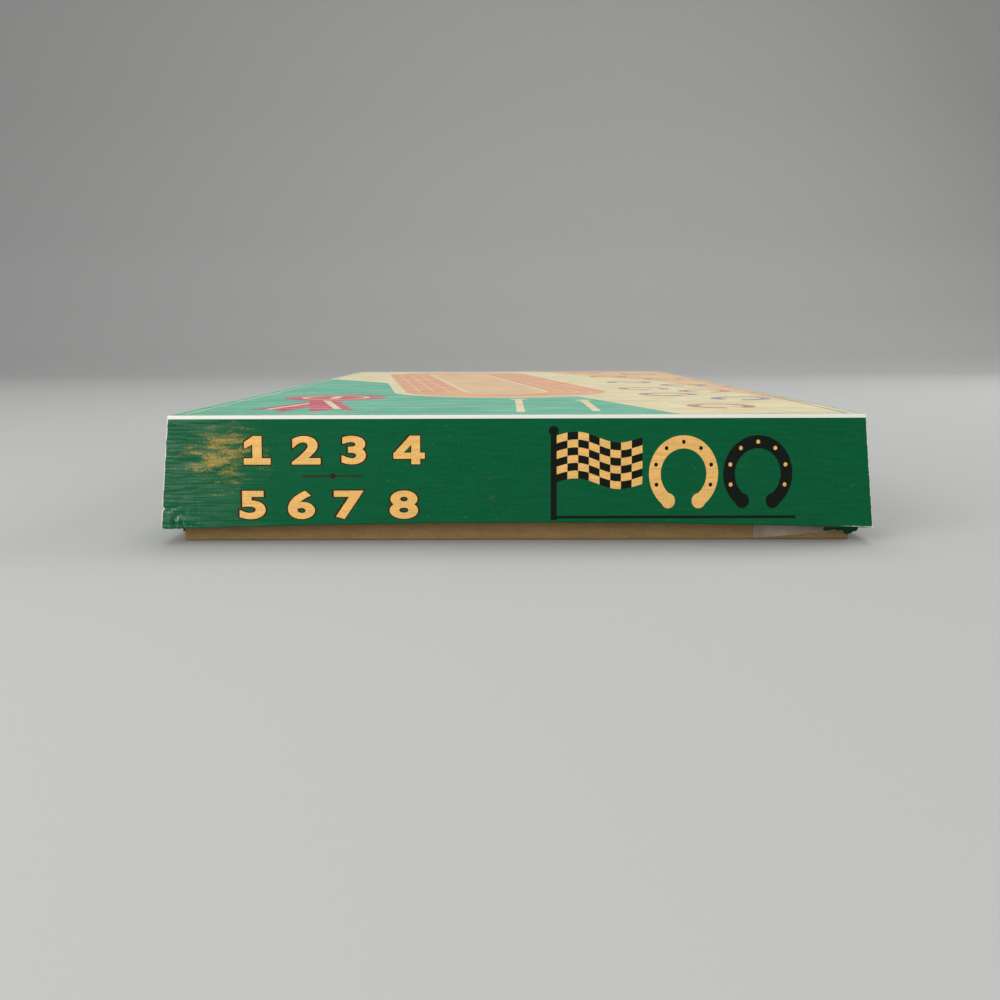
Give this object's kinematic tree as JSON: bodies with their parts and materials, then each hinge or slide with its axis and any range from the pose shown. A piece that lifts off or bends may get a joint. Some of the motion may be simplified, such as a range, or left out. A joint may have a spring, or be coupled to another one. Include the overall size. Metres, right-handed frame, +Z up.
{
  "type": "crank horse race game",
  "caption": "Long lidded cardboard game box holding a hand cranked vibrating race track with running horses, lane rails, start gate and wells for counters and cards.",
  "frame": {"origin": "middle of the tray's underside", "axes": "+X across the box to the right as seen from its crank end, +Y along the box from the crank end to the finish end, +Z up"},
  "size_m": [0.2608, 0.5148, 0.047],
  "materials": {
    "tray_chipboard": "plain tan chipboard, matt",
    "flap_paper": "pinkish grey glued paper, matt",
    "lid_chipboard": "grey tan chipboard, matt",
    "printed_wrap": "printed green paper, glossy",
    "softwood": "planed softwood",
    "buffer_rubber": "matt",
    "zinc_steel": "zinc plated",
    "bright_steel": "ground",
    "printed_hardboard": "printed green paper on hardboard",
    "white_rail": "white paint",
    "white_wood": "white paint",
    "red_wood": "red paint, satin",
    "blue_wood": "blue paint, satin",
    "well_card": "dark card",
    "card_stock": "printed card",
    "leaflet_paper": "folded paper",
    "gear_brass": "machined",
    "crank_nickel": "nickel plated",
    "knob_wood": "red lacquer",
    "gate_enamel": "white enamel",
    "base_tin": "green enamel",
    "bay_horse": "painted",
    "grey_horse": "painted",
    "chestnut_horse": "painted",
    "black_horse": "painted"
  },
  "bodies": {
    "box": {"box_tray": "tray_chipboard", "tray_glue_flaps": "flap_paper", "side_batten_left": "softwood", "side_batten_right": "softwood", "cross_battens": "softwood", "deck_screws": "zinc_steel"},
    "lid": {"lid_board": "lid_chipboard", "lid_wrap": "printed_wrap"},
    "deck": {"track_deck": "printed_hardboard", "lane_rails": "white_rail", "stop_bar": "red_wood", "winning_post_left": "white_wood", "winning_post_right": "white_wood", "counter_well": "well_card", "card_well": "well_card", "red_counters": "red_wood", "blue_counters": "blue_wood", "betting_cards": "card_stock", "rules_leaflet": "leaflet_paper", "rubber_buffers": "buffer_rubber", "crank_bush": "gear_brass", "arbor_bushes": "gear_brass", "gear_plate": "zinc_steel", "gear_pillars": "bright_steel", "pillar_screws": "zinc_steel", "gate_hangers": "zinc_steel"},
    "crank": {"crank_gear": "gear_brass", "crank_shaft": "bright_steel", "crank_arm": "crank_nickel", "crank_nut": "crank_nickel", "knob_rivet": "bright_steel"},
    "knob": {"crank_knob": "knob_wood"},
    "idler": {"idler_pinion": "gear_brass", "idler_gear": "gear_brass", "idler_arbor": "bright_steel"},
    "fly": {"fly_pinion": "gear_brass", "fly_arbor": "bright_steel", "flyweight": "gear_brass"},
    "start_gate": {"gate_rod": "bright_steel", "gate_comb": "gate_enamel", "gate_lever": "gate_enamel", "gate_knob": "knob_wood"},
    "horse_1": {"horse_1_base": "base_tin", "horse_1_figure": "bay_horse"},
    "horse_2": {"horse_2_base": "base_tin", "horse_2_figure": "grey_horse"},
    "horse_3": {"horse_3_base": "base_tin", "horse_3_figure": "chestnut_horse"},
    "horse_4": {"horse_4_base": "base_tin", "horse_4_figure": "black_horse"},
    "horse_5": {"horse_5_base": "base_tin", "horse_5_figure": "chestnut_horse"},
    "horse_6": {"horse_6_base": "base_tin", "horse_6_figure": "bay_horse"},
    "horse_7": {"horse_7_base": "base_tin", "horse_7_figure": "grey_horse"},
    "horse_8": {"horse_8_base": "base_tin", "horse_8_figure": "black_horse"}
  },
  "joints": [
    {"name": "lid_lift", "type": "slide", "parent": "box", "child": "lid", "axis": [0, 0, 1], "range_m": [0, 0.2]},
    {"name": "deck_float", "type": "slide", "parent": "box", "child": "deck", "axis": [0, 1, 0], "range_m": [-0.0005, 0.0005], "stiffness_N_per_m": 2000},
    {"name": "crank_turn", "type": "hinge", "parent": "deck", "child": "crank", "pos_m": [0, -0.20285, 0.019], "axis": [0, 0, 1], "continuous": true},
    {"name": "knob_spin", "type": "hinge", "parent": "crank", "child": "knob", "pos_m": [0.034, -0.20285, 0.03], "axis": [0, 0, 1], "continuous": true},
    {"name": "idler_turn", "type": "hinge", "parent": "deck", "child": "idler", "pos_m": [0, -0.16685, 0.008], "axis": [0, 0, 1], "continuous": true},
    {"name": "fly_turn", "type": "hinge", "parent": "deck", "child": "fly", "pos_m": [-0.02719, -0.17953, 0.007], "axis": [0, 0, 1], "continuous": true},
    {"name": "start_gate_swing", "type": "hinge", "parent": "deck", "child": "start_gate", "pos_m": [0, -0.11185, 0.0098], "axis": [1, 0, 0], "range_deg": [0, 90]},
    {"name": "horse_1_run", "type": "slide", "parent": "deck", "child": "horse_1", "axis": [0, 1, 0], "range_m": [0, 0.34]},
    {"name": "horse_2_run", "type": "slide", "parent": "deck", "child": "horse_2", "axis": [0, 1, 0], "range_m": [0, 0.34]},
    {"name": "horse_3_run", "type": "slide", "parent": "deck", "child": "horse_3", "axis": [0, 1, 0], "range_m": [0, 0.34]},
    {"name": "horse_4_run", "type": "slide", "parent": "deck", "child": "horse_4", "axis": [0, 1, 0], "range_m": [0, 0.34]},
    {"name": "horse_5_run", "type": "slide", "parent": "deck", "child": "horse_5", "axis": [0, 1, 0], "range_m": [0, 0.34]},
    {"name": "horse_6_run", "type": "slide", "parent": "deck", "child": "horse_6", "axis": [0, 1, 0], "range_m": [0, 0.34]},
    {"name": "horse_7_run", "type": "slide", "parent": "deck", "child": "horse_7", "axis": [0, 1, 0], "range_m": [0, 0.34]},
    {"name": "horse_8_run", "type": "slide", "parent": "deck", "child": "horse_8", "axis": [0, 1, 0], "range_m": [0, 0.34]}
  ],
  "couplings": [
    {"joint": "idler_turn", "follows": "crank_turn", "ratio": -5},
    {"joint": "fly_turn", "follows": "crank_turn", "ratio": 20}
  ]
}
